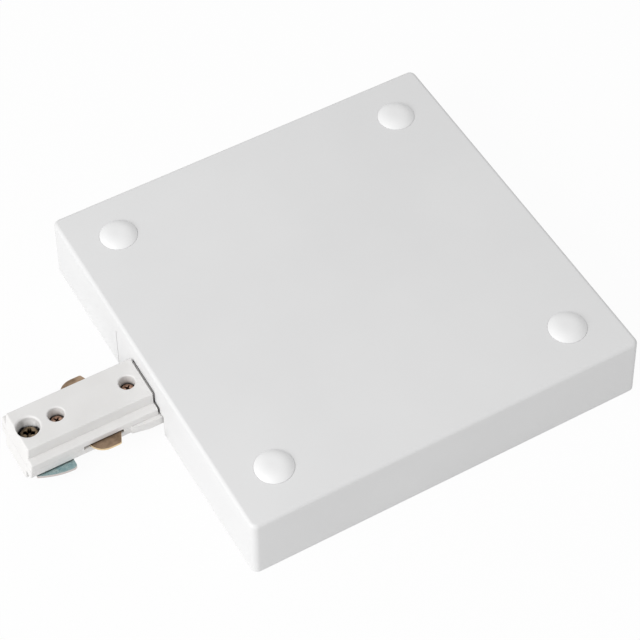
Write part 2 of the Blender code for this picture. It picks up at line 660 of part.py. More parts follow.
# Ground blade seen from above: a lens-shaped wing with a nut that rides on the lock screw.
def blade_outline():
    start = tip_x + BLADE_SETBACK - lock_x
    end = start + BLADE_LENGTH
    far = BODY_WIDTH / 2 + BLADE_REACH
    points = [(end, -BLADE_WING), (end, -far + BLADE_NIP), (end - BLADE_NIP / 4, -far + BLADE_NIP / 3)]
    for step in range(9):
        share = step / 8
        points.append((end - BLADE_NIP - (BLADE_LENGTH - BLADE_NIP) * share, -far + BLADE_REACH * share * share))
    points.append((-BLADE_NUT_RADIUS, -BLADE_WING))
    for step in range(13):
        angle = math.radians(180 - 15 * step)
        points.append((BLADE_NUT_RADIUS * math.cos(angle), BLADE_NUT_RADIUS * math.sin(angle)))
    points.append((BLADE_NUT_RADIUS, -BLADE_WING))
    return points


def make_lock(parent, blade_surface, screw_surface):
    blade = prism(blade_outline(), blade_low, blade_high)
    hole = rod(LOCK_SHANK_RADIUS + RUNNING, blade_low - OVERRUN, blade_high + OVERRUN)
    placed("ground_blade", cut(blade, [hole]), blade_surface, parent, (lock_x, 0, 0))
    length = lock_head_bottom - (blade_low - LOCK_TRAVEL)
    head = LOCK_WELL_RADIUS - SEAT
    screw = screw_mesh(head, LOCK_HEAD_HEIGHT, LOCK_SHANK_RADIUS, length, ROUND_STEPS, LOCK_HEAD_TURN)
    placed("lock_screw", screw, screw_surface, parent, (lock_x, 0, lock_head_bottom), True)


def make_plug_fasteners(parent, copper, steel):
    seat = housing_seat_z + SEAT
    head = HOUSING_WELL_RADIUS - SEAT
    screw = screw_mesh(head, HOUSING_HEAD_HEIGHT, HOUSING_SHANK_RADIUS, seat - HOUSING_SCREW_FOOT)
    for number, x in enumerate((front_screw_x, rear_screw_x), start=1):
        placed(f"housing_screw_{number}", screw.copy(), copper, parent, (x, 0, seat), True)
    seat = strip_high + SEAT
    head = terminal_pad / 2 - SEAT
    screw = screw_mesh(head, TERMINAL_HEAD_HEIGHT, TERMINAL_SHANK_RADIUS, seat - TERMINAL_FOOT)
    places = {"line": (power_terminal_x, -power_terminal_y), "neutral": (power_terminal_x, power_terminal_y),
              "ground": (ground_terminal_x, 0)}
    for wire, (x, y) in places.items():
        placed(f"{wire}_terminal_screw", screw.copy(), steel, parent, (x, y, seat), True)
    seat = PLUG_BOTTOM + EAR_THICKNESS + SEAT
    screw = screw_mesh(SCREW_HEAD_RADIUS, SCREW_HEAD_HEIGHT, SCREW_SHANK_RADIUS, seat - SEAT, 20)
    for number, side in enumerate((-1, 1), start=1):
        placed(f"plate_screw_{number}", screw.copy(), steel, parent, (ear_x, side * ear_y, seat), True)


def make_feed():
    empty_scene()
    white = material("canopy_white", (0.84, 0.84, 0.84), 0.38)
    cap_white = material("cap_white", (0.88, 0.88, 0.88), 0.35)
    connector_white = material("connector_white", (0.80, 0.79, 0.78), 0.45)
    zinc = material("zinc_plated_steel", (0.62, 0.63, 0.65), 0.38, 1.0)
    green = material("green_screw", (0.06, 0.30, 0.12), 0.45, 0.6)
    brass = material("contact_brass", (0.52, 0.38, 0.25), 0.35, 1.0)
    blue = material("blue_zinc", (0.30, 0.45, 0.48), 0.32, 1.0)
    yellow = material("yellow_zinc", (0.48, 0.44, 0.32), 0.40, 1.0)
    copper = material("coppered_steel", (0.46, 0.26, 0.18), 0.42, 1.0)
    canopy_centre = datum("canopy_centre", (canopy_x, 0, 0))
    plug_centre = datum("plug_centre", (canopy_x, PLUG_OFFSET, 0))
    make_canopy(canopy_centre, white)
    make_corner_fasteners(canopy_centre, cap_white, zinc)
    make_plate(canopy_centre, zinc, green)
    make_housing(plug_centre, connector_white)
    make_base(plug_centre, connector_white)
    make_contacts(plug_centre, brass)
    make_ground_strip(plug_centre, brass)
    make_lock(plug_centre, blue, yellow)
    make_plug_fasteners(plug_centre, copper, zinc)


make_feed()
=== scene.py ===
import math

import bmesh
import bpy
from mathutils import Matrix, Vector


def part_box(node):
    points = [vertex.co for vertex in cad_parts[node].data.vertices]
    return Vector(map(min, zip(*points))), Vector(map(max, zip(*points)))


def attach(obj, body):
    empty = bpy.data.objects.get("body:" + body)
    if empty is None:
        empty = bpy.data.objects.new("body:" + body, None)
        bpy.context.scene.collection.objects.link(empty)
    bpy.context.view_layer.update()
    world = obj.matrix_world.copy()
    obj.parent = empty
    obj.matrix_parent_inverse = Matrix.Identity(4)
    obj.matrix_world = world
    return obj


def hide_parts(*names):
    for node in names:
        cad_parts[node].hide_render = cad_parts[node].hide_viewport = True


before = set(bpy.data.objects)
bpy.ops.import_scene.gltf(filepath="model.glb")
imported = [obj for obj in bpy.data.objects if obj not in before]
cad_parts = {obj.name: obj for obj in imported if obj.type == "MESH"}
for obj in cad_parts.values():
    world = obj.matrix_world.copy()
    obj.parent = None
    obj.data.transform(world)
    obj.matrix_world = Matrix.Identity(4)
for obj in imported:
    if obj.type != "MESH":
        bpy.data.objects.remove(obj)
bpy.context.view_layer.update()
print("frame loaded:", len(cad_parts), "nodes")

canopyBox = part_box("canopy_cover")
canopyCentre = (canopyBox[0] + canopyBox[1]) / 2
faceHeight = canopyBox[1].z


# Small tools that several pieces use

meshValues = {"merge": 2e-6, "flatAngle": 0.4, "sharpAngle": 30, "flatWeight": 100}  # metres, degrees


def finishMesh(shape, name):
    mesh = bpy.data.meshes.new(name)
    shape.to_mesh(mesh)
    shape.free()
    return mesh


def addPiece(name, mesh, body, node, surface):
    mesh.shade_smooth()
    mesh.set_sharp_from_angle(angle=math.radians(meshValues["sharpAngle"]))
    mesh.materials.clear()
    mesh.materials.append(surface)
    piece = bpy.data.objects.new(name, mesh)
    bpy.context.collection.objects.link(piece)
    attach(piece, body)
    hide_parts(node)
    weighted = piece.modifiers.new("evenShading", "WEIGHTED_NORMAL")  # keeps the flats flat beside fillets
    weighted.keep_sharp = True
    weighted.weight = meshValues["flatWeight"]


def cleanCopy(node):
    shape = bmesh.new()
    shape.from_mesh(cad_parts[node].data)
    bmesh.ops.remove_doubles(shape, verts=shape.verts, dist=meshValues["merge"])
    bmesh.ops.dissolve_limit(shape, angle_limit=math.radians(meshValues["flatAngle"]), verts=shape.verts,
                             edges=shape.edges)
    return shape


def isNear(value, places):
    return any(abs(value - place) < meshValues["merge"] for place in places)


def breakEdges(shape, edges, offset, segments):
    bmesh.ops.bevel(shape, geom=edges, offset=offset, offset_type="OFFSET", segments=segments, profile=0.5,
                    affect="EDGES", clamp_overlap=True, material=-1)


def booleanApplied(mesh, cutterMesh, operation="DIFFERENCE"):
    piece = bpy.data.objects.new("piece", mesh)
    cutter = bpy.data.objects.new("cutter", cutterMesh)
    bpy.context.collection.objects.link(piece)
    bpy.context.collection.objects.link(cutter)
    step = piece.modifiers.new("cut", "BOOLEAN")
    step.object = cutter
    step.operation = operation
    step.solver = "EXACT"
    ready = piece.evaluated_get(bpy.context.evaluated_depsgraph_get())
    result = bpy.data.meshes.new_from_object(ready)
    for item in (piece, cutter):
        bpy.data.objects.remove(item, do_unlink=True)
    return result


def startLine(points):
    shape = bmesh.new()
    verts = [shape.verts.new((radius, 0, height)) for radius, height in points]
    edges = [shape.edges.new(pair) for pair in zip(verts, verts[1:])]
    return shape, verts + edges


def spinProfile(points, steps):
    shape, line = startLine(points)
    bmesh.ops.spin(shape, geom=line, cent=(0, 0, 0), axis=(0, 0, 1), angle=2 * math.pi, steps=steps,
                   use_merge=True, use_duplicate=False)
    bmesh.ops.remove_doubles(shape, verts=shape.verts, dist=1e-7)
    bmesh.ops.recalc_face_normals(shape, faces=shape.faces)
    return shape


# Node tools. calculate takes sockets or plain numbers and gives back the result's socket.

def calculate(nodes, links, operation, *sources):
    node = nodes.new("ShaderNodeMath")
    node.operation = operation
    for place, source in enumerate(sources):
        if isinstance(source, (int, float)):
            node.inputs[place].default_value = source
        else:
            links.new(source, node.inputs[place])
    return node.outputs[0]


def noiseNode(nodes, links, place, scale, detail):
    noise = nodes.new("ShaderNodeTexNoise")
    noise.inputs["Detail"].default_value = detail
    links.new(place.outputs["Object"], noise.inputs["Vector"])
    links.new(scale, noise.inputs["Scale"])
    return noise


def cellNode(nodes, links, place, scale):
    cells = nodes.new("ShaderNodeTexVoronoi")
    links.new(place, cells.inputs["Vector"])
    links.new(scale, cells.inputs["Scale"])
    pick = nodes.new("ShaderNodeSeparateColor")
    links.new(cells.outputs["Color"], pick.inputs["Color"])
    return cells.outputs["Distance"], pick.outputs["Red"]


# Shared groups that every finish places with its own values

def groupWith(name, inputs, outputs):
    group = bpy.data.node_groups.new(name, "ShaderNodeTree")
    for label, value in inputs:
        socket = group.interface.new_socket(label, in_out="INPUT", socket_type="NodeSocketFloat")
        socket.default_value = value
    for label, kind in outputs:
        group.interface.new_socket(label, in_out="OUTPUT", socket_type=f"NodeSocket{kind}")
    inside = group.nodes.new("NodeGroupInput")
    outside = group.nodes.new("NodeGroupOutput")
    return group, group.nodes, group.links, inside.outputs, outside.inputs


# Fine and broad noise with a bump, for every surface

def makeGrainGroup():
    inputs = (("Fine Scale", 3000), ("Broad Scale", 30), ("Bump", 0.1), ("Distance", 0.0001))
    outputs = (("Fine", "Float"), ("Broad", "Float"), ("Normal", "Vector"))
    group, nodes, links, given, result = groupWith("surfaceGrain", inputs, outputs)
    place = nodes.new("ShaderNodeTexCoord")
    fine = noiseNode(nodes, links, place, given["Fine Scale"], 4)
    broad = noiseNode(nodes, links, place, given["Broad Scale"], 3)
    bump = nodes.new("ShaderNodeBump")
    links.new(fine.outputs["Fac"], bump.inputs["Height"])
    links.new(given["Bump"], bump.inputs["Strength"])
    links.new(given["Distance"], bump.inputs["Distance"])
    links.new(fine.outputs["Fac"], result["Fine"])
    links.new(broad.outputs["Fac"], result["Broad"])
    links.new(bump.outputs["Normal"], result["Normal"])
    return group


# Sparse small specks of dust, as a mask

def makeSpeckGroup():
    inputs = (("Scale", 90), ("Size", 0.03), ("Share", 0.2))
    group, nodes, links, given, result = groupWith("dustSpecks", inputs, (("Specks", "Float"),))
    place = nodes.new("ShaderNodeTexCoord")
    distance, chance = cellNode(nodes, links, place.outputs["Object"], given["Scale"])
    small = calculate(nodes, links, "LESS_THAN", distance, given["Size"])
    few = calculate(nodes, links, "LESS_THAN", chance, given["Share"])
    links.new(calculate(nodes, links, "MULTIPLY", small, few), result["Specks"])
    return group


# Painted shade for corners, gaps and recesses, from ambient occlusion, as a mask

def makePaintedShadeGroup():
    inputs = (("Reach", 0.001), ("Start", 0.5), ("Spread", 0.3), ("Strength", 0.4))
    group, nodes, links, given, result = groupWith("paintedCornerShade", inputs, (("PaintedShade", "Float"),))
    corner = nodes.new("ShaderNodeAmbientOcclusion")
    corner.samples = 8
    links.new(given["Reach"], corner.inputs["Distance"])
    deep = nodes.new("ShaderNodeMapRange")
    deep.interpolation_type = "SMOOTHSTEP"
    links.new(calculate(nodes, links, "SUBTRACT", 1, corner.outputs["AO"]), deep.inputs["Value"])
    links.new(given["Start"], deep.inputs["From Min"])
    links.new(calculate(nodes, links, "ADD", given["Start"], given["Spread"]), deep.inputs["From Max"])
    paintedShade = calculate(nodes, links, "MULTIPLY", deep.outputs["Result"], given["Strength"])
    links.new(paintedShade, result["PaintedShade"])
    return group


# Faces that stand upright, which on stamped sheet are the sheared edges, as a mask for painting them
# lighter: bare metal and a painted highlight

def makeCutEdgeHighlightGroup():
    inputs = (("Level", 0.8), ("Upright", 0.4))
    group, nodes, links, given, result = groupWith("cutEdgeHighlight", inputs, (("Edge", "Float"),))
    facing = nodes.new("ShaderNodeNewGeometry")
    split = nodes.new("ShaderNodeSeparateXYZ")
    links.new(facing.outputs["True Normal"], split.inputs["Vector"])
    edge = nodes.new("ShaderNodeMapRange")
    links.new(given["Level"], edge.inputs["From Min"])
    links.new(given["Upright"], edge.inputs["From Max"])
    links.new(calculate(nodes, links, "ABSOLUTE", split.outputs["Z"]), edge.inputs["Value"])
    links.new(edge.outputs["Result"], result["Edge"])
    return group


# Rings left by turning, from the distance stored on each screw's vertices

def makeRingGroup():
    inputs = (("Rings", 9000), ("Waver", 5), ("Waver Scale", 700))
    group, nodes, links, given, result = groupWith("turnedRings", inputs, (("Rings", "Float"),))
    radius = nodes.new("ShaderNodeAttribute")
    radius.attribute_name = "turnRadius"
    place = nodes.new("ShaderNodeTexCoord")
    waver = noiseNode(nodes, links, place, given["Waver Scale"], 2)
    scaled = calculate(nodes, links, "MULTIPLY", radius.outputs["Fac"], given["Rings"])
    shift = calculate(nodes, links, "MULTIPLY", waver.outputs["Fac"], given["Waver"])
    total = calculate(nodes, links, "ADD", scaled, shift)
    level = nodes.new("ShaderNodeMapRange")
    level.inputs["From Min"].default_value = -1
    links.new(calculate(nodes, links, "SINE", total), level.inputs["Value"])
    links.new(level.outputs["Result"], result["Rings"])
    return group


# Crystal patches of zinc plate: a value per patch

def makeSpangleGroup():
    inputs = (("Scale", 260), ("Bend", 0.003), ("Bend Scale", 300))
    group, nodes, links, given, result = groupWith("zincSpangle", inputs, (("Patch", "Float"),))
    place = nodes.new("ShaderNodeTexCoord")
    bend = noiseNode(nodes, links, place, given["Bend Scale"], 3)
    push = nodes.new("ShaderNodeVectorMath")
    push.operation = "SCALE"
    links.new(bend.outputs["Color"], push.inputs[0])
    links.new(given["Bend"], push.inputs["Scale"])
    moved = nodes.new("ShaderNodeVectorMath")
    links.new(place.outputs["Object"], moved.inputs[0])
    links.new(push.outputs["Vector"], moved.inputs[1])
    patch = cellNode(nodes, links, moved.outputs["Vector"], given["Scale"])[1]
    links.new(patch, result["Patch"])
    return group


grainGroup = makeGrainGroup()
speckGroup = makeSpeckGroup()
paintedShadeGroup = makePaintedShadeGroup()
cutEdgeHighlightGroup = makeCutEdgeHighlightGroup()
ringGroup = makeRingGroup()
spangleGroup = makeSpangleGroup()


# Steps that several finishes take

def addGroup(nodes, group, **inputs):
    node = nodes.new("ShaderNodeGroup")
    node.node_tree = group
    for label, value in inputs.items():
        node.inputs[label.replace("_", " ")].default_value = value
    return node


def startMaterial(name, values):
    surface = bpy.data.materials.new(name)
    surface.use_nodes = True
    nodes = surface.node_tree.nodes
    shader = nodes["Principled BSDF"]
    shader.inputs["Metallic"].default_value = values.get("metallic", 0)
    grain = addGroup(nodes, grainGroup, Fine_Scale=values["fineScale"], Broad_Scale=values["broadScale"],
                     Bump=values["bump"], Distance=values["distance"])
    return surface, nodes, surface.node_tree.links, shader, grain


def rampBetween(nodes, links, source, low, high, start=0.3, end=0.7):
    ramp = nodes.new("ShaderNodeValToRGB")
    ramp.color_ramp.elements[0].position = start
    ramp.color_ramp.elements[1].position = end
    ramp.color_ramp.elements[0].color = (*low, 1)
    ramp.color_ramp.elements[1].color = (*high, 1)
    links.new(source, ramp.inputs["Fac"])
    return ramp.outputs["Color"]


def blend(nodes, links, factor, first, second, kind="MIX"):
    mix = nodes.new("ShaderNodeMix")
    mix.data_type = "RGBA"
    mix.blend_type = kind
    links.new(factor, mix.inputs["Factor"])
    links.new(first, mix.inputs["A"])
    if isinstance(second, tuple):
        mix.inputs["B"].default_value = (*second, 1)
    else:
        links.new(second, mix.inputs["B"])
    return mix.outputs["Result"]


def spreadValue(nodes, links, source, low, high, start=0.3, end=0.7):
    spread = nodes.new("ShaderNodeMapRange")
    spread.inputs["From Min"].default_value = start
    spread.inputs["From Max"].default_value = end
    spread.inputs["To Min"].default_value = low
    spread.inputs["To Max"].default_value = high
    links.new(source, spread.inputs["Value"])
    return spread.outputs["Result"]


# Blends painted shade into the colour where ambient occlusion finds corners, gaps and recesses
def addPaintedShade(nodes, links, colour, values):
    paintedShade = addGroup(nodes, paintedShadeGroup, Reach=values["paintedShadeReach"], Start=values["paintedShadeStart"],
                    Strength=values["paintedShadeStrength"])
    return blend(nodes, links, paintedShade.outputs["PaintedShade"], colour, values["paintedShadeColour"])


def finishSurface(nodes, links, shader, grain, colour, values):
    roughness = spreadValue(nodes, links, grain.outputs["Fine"], *values["roughness"])
    links.new(colour, shader.inputs["Base Color"])
    links.new(roughness, shader.inputs["Roughness"])
    links.new(grain.outputs["Normal"], shader.inputs["Normal"])


# Moulded plastic: slight unevenness of colour, painted shade in the corners and gaps, a few dust specks

def plasticMaterial(name, values):
    surface, nodes, links, shader, grain = startMaterial(name, values)
    colour = rampBetween(nodes, links, grain.outputs["Broad"], values["dark"], values["light"])
    colour = addPaintedShade(nodes, links, colour, values)
    specks = addGroup(nodes, speckGroup, Scale=values["speckScale"], Size=values["speckSize"],
                      Share=values["speckShare"])
    colour = blend(nodes, links, specks.outputs["Specks"], colour, values["speckColour"])
    finishSurface(nodes, links, shader, grain, colour, values)
    return surface


# The shade values set how far the painted shade reaches into corners and gaps, where it starts, how strong
# it is and its colour; on the connector it paints the gap at the canopy's wall near black
plasticFinish = {
    "canopyWhite": {"dark": (0.750, 0.750, 0.752), "light": (0.775, 0.775, 0.776), "roughness": (0.46, 0.56),
                    "fineScale": 2600, "broadScale": 26, "bump": 0.10, "distance": 0.00004,
                    "paintedShadeReach": 0.0012, "paintedShadeStart": 0.6, "paintedShadeStrength": 0.3,
                    "paintedShadeColour": (0.12, 0.10, 0.09), "speckScale": 46, "speckSize": 0.012,
                    "speckShare": 0.10, "speckColour": (0.42, 0.41, 0.40)},
    "capWhite": {"dark": (0.845, 0.845, 0.846), "light": (0.865, 0.865, 0.866), "roughness": (0.42, 0.50),
                 "fineScale": 3200, "broadScale": 90, "bump": 0.06, "distance": 0.00003,
                 "paintedShadeReach": 0.0008, "paintedShadeStart": 0.6, "paintedShadeStrength": 0.1,
                 "paintedShadeColour": (0.12, 0.10, 0.09), "speckScale": 120, "speckSize": 0.02,
                 "speckShare": 0.05, "speckColour": (0.45, 0.44, 0.43)},
    "connectorWhite": {"dark": (0.735, 0.725, 0.715), "light": (0.765, 0.757, 0.748),
                       "roughness": (0.40, 0.52), "fineScale": 3400, "broadScale": 120, "bump": 0.12,
                       "distance": 0.00004, "paintedShadeReach": 0.0014, "paintedShadeStart": 0.5, "paintedShadeStrength": 0.95,
                       "paintedShadeColour": (0.05, 0.035, 0.028), "speckScale": 90, "speckSize": 0.018,
                       "speckShare": 0.08, "speckColour": (0.38, 0.36, 0.34)},
}


# Stamped sheet: mottled face, and sheared edges painted lighter, as bare metal and as a painted highlight

def sheetMaterial(name, values):
    surface, nodes, links, shader, grain = startMaterial(name, values)
    colour = rampBetween(nodes, links, grain.outputs["Broad"], values["dark"], values["light"])
    spots = rampBetween(nodes, links, grain.outputs["Fine"], values["spot"], (1, 1, 1), *values["spotRange"])
    colour = blend(nodes, links, grain.outputs["Broad"], colour, spots, "MULTIPLY")
    # Upright faces get the edge colour: lighter, as bare metal and as a painted highlight
    edge = addGroup(nodes, cutEdgeHighlightGroup)
    colour = blend(nodes, links, edge.outputs["Edge"], colour, values["edge"])
    finishSurface(nodes, links, shader, grain, colour, values)
    return surface


# edge is the colour of the sheared edges: bare metal with a painted highlight
sheetFinish = {
    "contactBrass": {"dark": (0.21, 0.145, 0.095), "light": (0.40, 0.29, 0.20), "spot": (0.55, 0.50, 0.46),
                     "spotRange": (0.32, 0.5), "edge": (0.78, 0.60, 0.36), "roughness": (0.30, 0.45),
                     "metallic": 1, "fineScale": 5200, "broadScale": 420, "bump": 0.12, "distance": 0.00002},
    "blueZinc": {"dark": (0.31, 0.47, 0.49), "light": (0.52, 0.62, 0.61), "spot": (0.72, 0.76, 0.76),
                 "spotRange": (0.32, 0.5), "edge": (0.60, 0.55, 0.53), "roughness": (0.26, 0.40),
                 "metallic": 1, "fineScale": 4800, "broadScale": 380, "bump": 0.12, "distance": 0.00002},
}


# Turned and plated screws: turning rings, and painted shade in the cross recess and between the threads

def screwMaterial(name, values):
    surface, nodes, links, shader, grain = startMaterial(name, values)
    colour = rampBetween(nodes, links, grain.outputs["Broad"], values["dark"], values["light"])
    rings = addGroup(nodes, ringGroup, Rings=values["rings"])
    share = spreadValue(nodes, links, rings.outputs["Rings"], 0, values["ringShare"], 0, 1)
    colour = blend(nodes, links, share, colour, values["ringColour"])
    colour = addPaintedShade(nodes, links, colour, values)
    finishSurface(nodes, links, shader, grain, colour, values)
    return surface


# The shade values paint the cross recesses and the roots of the threads dark, as painted shade
screwFinish = {
    "yellowZinc": {"dark": (0.12, 0.085, 0.055), "light": (0.34, 0.26, 0.17), "roughness": (0.22, 0.36),
                   "metallic": 1, "fineScale": 5200, "broadScale": 600, "bump": 0.15, "distance": 0.00002,
                   "rings": 30000, "ringShare": 0.3, "ringColour": (0.07, 0.05, 0.035), "paintedShadeReach": 0.0014,
                   "paintedShadeStart": 0.18, "paintedShadeStrength": 1.0, "paintedShadeColour": (0.012, 0.009, 0.007)},
    "copperedSteel": {"dark": (0.42, 0.25, 0.18), "light": (0.68, 0.47, 0.36), "roughness": (0.32, 0.48),
                      "metallic": 1, "fineScale": 5200, "broadScale": 600, "bump": 0.15,
                      "distance": 0.00002, "rings": 36000, "ringShare": 0.2,
                      "ringColour": (0.24, 0.13, 0.09), "paintedShadeReach": 0.0008, "paintedShadeStart": 0.3,
                      "paintedShadeStrength": 0.8, "paintedShadeColour": (0.03, 0.02, 0.015)},
    "zincScrew": {"dark": (0.48, 0.49, 0.51), "light": (0.66, 0.67, 0.69), "roughness": (0.28, 0.42),
                  "metallic": 1, "fineScale": 4400, "broadScale": 360, "bump": 0.10, "distance": 0.00003,
                  "rings": 30000, "ringShare": 0.25, "ringColour": (0.36, 0.37, 0.39), "paintedShadeReach": 0.0008,
                  "paintedShadeStart": 0.3, "paintedShadeStrength": 0.7, "paintedShadeColour": (0.10, 0.10, 0.10)},
    "greenScrew": {"dark": (0.03, 0.16, 0.06), "light": (0.06, 0.26, 0.10), "roughness": (0.34, 0.46),
                   "metallic": 0.7, "fineScale": 3600, "broadScale": 500, "bump": 0.12, "distance": 0.00002,
                   "rings": 26000, "ringShare": 0.25, "ringColour": (0.02, 0.10, 0.04), "paintedShadeReach": 0.0008,
                   "paintedShadeStart": 0.3, "paintedShadeStrength": 0.7, "paintedShadeColour": (0.01, 0.03, 0.015)},
}


# Zinc-plated sheet with crystal patches

def platedMaterial(name, values):
    surface, nodes, links, shader, grain = startMaterial(name, values)
    spangle = addGroup(nodes, spangleGroup, Scale=values["patchScale"])
    colour = rampBetween(nodes, links, spangle.outputs["Patch"], values["dark"], values["light"], 0, 1)
    stains = rampBetween(nodes, links, grain.outputs["Broad"], values["stain"], (1, 1, 1),
                         *values["stainRange"])
    colour = blend(nodes, links, grain.outputs["Broad"], colour, stains, "MULTIPLY")
    finishSurface(nodes, links, shader, grain, colour, values)
    return surface


platedFinish = {
    "zincSteel": {"dark": (0.58, 0.59, 0.61), "light": (0.67, 0.68, 0.70), "stain": (0.80, 0.78, 0.75),
                  "stainRange": (0.35, 0.55), "roughness": (0.28, 0.42), "metallic": 1, "fineScale": 2400,
                  "broadScale": 110, "bump": 0.10, "distance": 0.00003, "patchScale": 520},
}

finishes = {}
for makeMaterial, kinds in ((plasticMaterial, plasticFinish), (sheetMaterial, sheetFinish),
                            (screwMaterial, screwFinish), (platedMaterial, platedFinish)):
    finishes.update({name: makeMaterial(name, values) for name, values in kinds.items()})
print("materials made:", len(finishes))


# Canopy cover, with its cap recesses rounded over at the face. The notch for the plug is widened a
# little, so that a dark gap shows round the plug as in the photograph. Its corners lie within "wall"
# of the outer face, at half widths "sides" and heights "foot" and "tops".

canopyValues = {"recessRadius": 0.00595, "recessMargin": 0.00003, "rimRound": 0.0001, "rimSteps": 3}
notchValues = {"wall": 0.0032, "sides": (0.0070, 0.0098), "foot": 0.00855, "tops": (0.0103, 0.0147),
               "widen": 0.0002, "draft": 0.0006}
capBoxes = [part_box(f"hole_plug_{number}") for number in (1, 2, 3, 4)]
capCentres = [(low + high) / 2 for low, high in capBoxes]
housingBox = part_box("plug_housing")
plugMiddle = (housingBox[0].y + housingBox[1].y) / 2


def onRecessRim(vert, values):
    radii = [math.hypot(vert.co.x - place.x, vert.co.y - place.y) for place in capCentres]
    return isNear(vert.co.z, [faceHeight]) and any(
        abs(radius - values["recessRadius"]) < values["recessMargin"] for radius in radii)


def widenNotch(shape, values):
    corners = [vert for vert in shape.verts if vert.co.x < canopyBox[0].x + values["wall"]
               and isNear(vert.co.z, (values["foot"], *values["tops"]))
               and isNear(abs(vert.co.y - plugMiddle), values["sides"])]
    tops = [vert for vert in corners if isNear(vert.co.z, values["tops"])]
    for vert in corners:
        vert.co.y += math.copysign(values["widen"], vert.co.y - plugMiddle)
    inwards = values["widen"] * values["draft"] / faceHeight  # follows the wall's slope
    bmesh.ops.translate(shape, verts=tops, vec=(inwards, 0, values["widen"]))
    print("notch corners moved:", len(corners))


def makeCanopy(values):
    shape = cleanCopy("canopy_cover")
    widenNotch(shape, notchValues)
    rims = [edge for edge in shape.edges if all(onRecessRim(vert, values) for vert in edge.verts)]
    breakEdges(shape, rims, values["rimRound"], values["rimSteps"])
    print("canopy recess edges rounded:", len(rims))
    addPiece("canopyCover", finishMesh(shape, "canopyCover"), "feed", "canopy_cover",
             finishes["canopyWhite"])


makeCanopy(canopyValues)


# Hole plugs: flat-topped dome with rounded flanks, thin flange, split skirt with a snap bead

holePlugValues = {"flange": 0.00588, "lip": 0.00003, "thick": 0.0006, "round": 0.0001,
                  "rise": 0.00168, "rim": 0.00010, "power": 3.3, "rings": 22, "ringPower": 1.5,
                  "skirt": 0.0047, "wall": 0.0009, "reach": 0.0045, "chamfer": 0.0004, "hollowRound": 0.0003,
                  "bead": 0.00018, "beadTop": 0.0012, "beadHeight": 0.0003, "beadSteps": 4,
                  "slit": 0.0012, "slitTop": 0.0018, "steps": 96}


def holePlugProfile(values):
    flange, rim, small = values["flange"], values["rim"], values["round"]
    under, foot = -values["thick"], -values["reach"]
    edge, skirt, hollow = flange + values["lip"], values["skirt"], values["skirt"] - values["wall"]
    points = []
    for ring in range(values["rings"] + 1):
        share = 1 - (1 - ring / values["rings"]) ** values["ringPower"]
        points.append((flange * share, rim + (values["rise"] - rim) * (1 - share ** values["power"])))
    points += [(edge, 0), (edge, under + small), (flange - small, under),
               (skirt + small, under), (skirt, under - small)]
    for step in range(values["beadSteps"] + 1):
        angle = math.radians(180 * step / values["beadSteps"])
        points.append((skirt + values["bead"] * math.sin(angle),
                       foot + values["beadTop"] - values["beadHeight"] * (1 - math.cos(angle))))
    points += [(skirt, foot + values["chamfer"]), (skirt - values["chamfer"], foot), (hollow, foot),
               (hollow, under - values["hollowRound"]), (hollow - values["hollowRound"], under - small),
               (0, under - small)]
    return points


def slitCutter(values, along):
    shape = bmesh.new()
    bmesh.ops.create_cube(shape, size=1)
    length = 4 * values["flange"]  # well past the skirt on both sides
    size = (length, values["slit"], values["reach"])
    if along == "Y":
        size = (values["slit"], length, values["reach"])
    bmesh.ops.scale(shape, verts=shape.verts, vec=size)
    bmesh.ops.translate(shape, verts=shape.verts, vec=(0, 0, -values["slitTop"] - values["reach"] / 2))
    return finishMesh(shape, "slit")


def makeHolePlug(number, place, values):
    mesh = finishMesh(spinProfile(holePlugProfile(values), values["steps"]), f"holePlug{number}")
    for along in ("X", "Y"):
        mesh = booleanApplied(mesh, slitCutter(values, along))
    mesh.transform(Matrix.Translation((place.x, place.y, faceHeight)))
    addPiece(f"holePlug{number}", mesh, f"cap_{number}", f"hole_plug_{number}",
             finishes["capWhite"])


for number, place in enumerate(capCentres, start=1):
    makeHolePlug(number, place, holePlugValues)
print("canopy and hole plugs made")


# Screws: spun pan head, a thread spun with a rise, a tapered cross recess. headUnder lists shares of the
# head's radius and height, threadLine shares of the pitch. threadFade says how many pitches below the
# head the thread starts, and over how many it comes to its full depth.

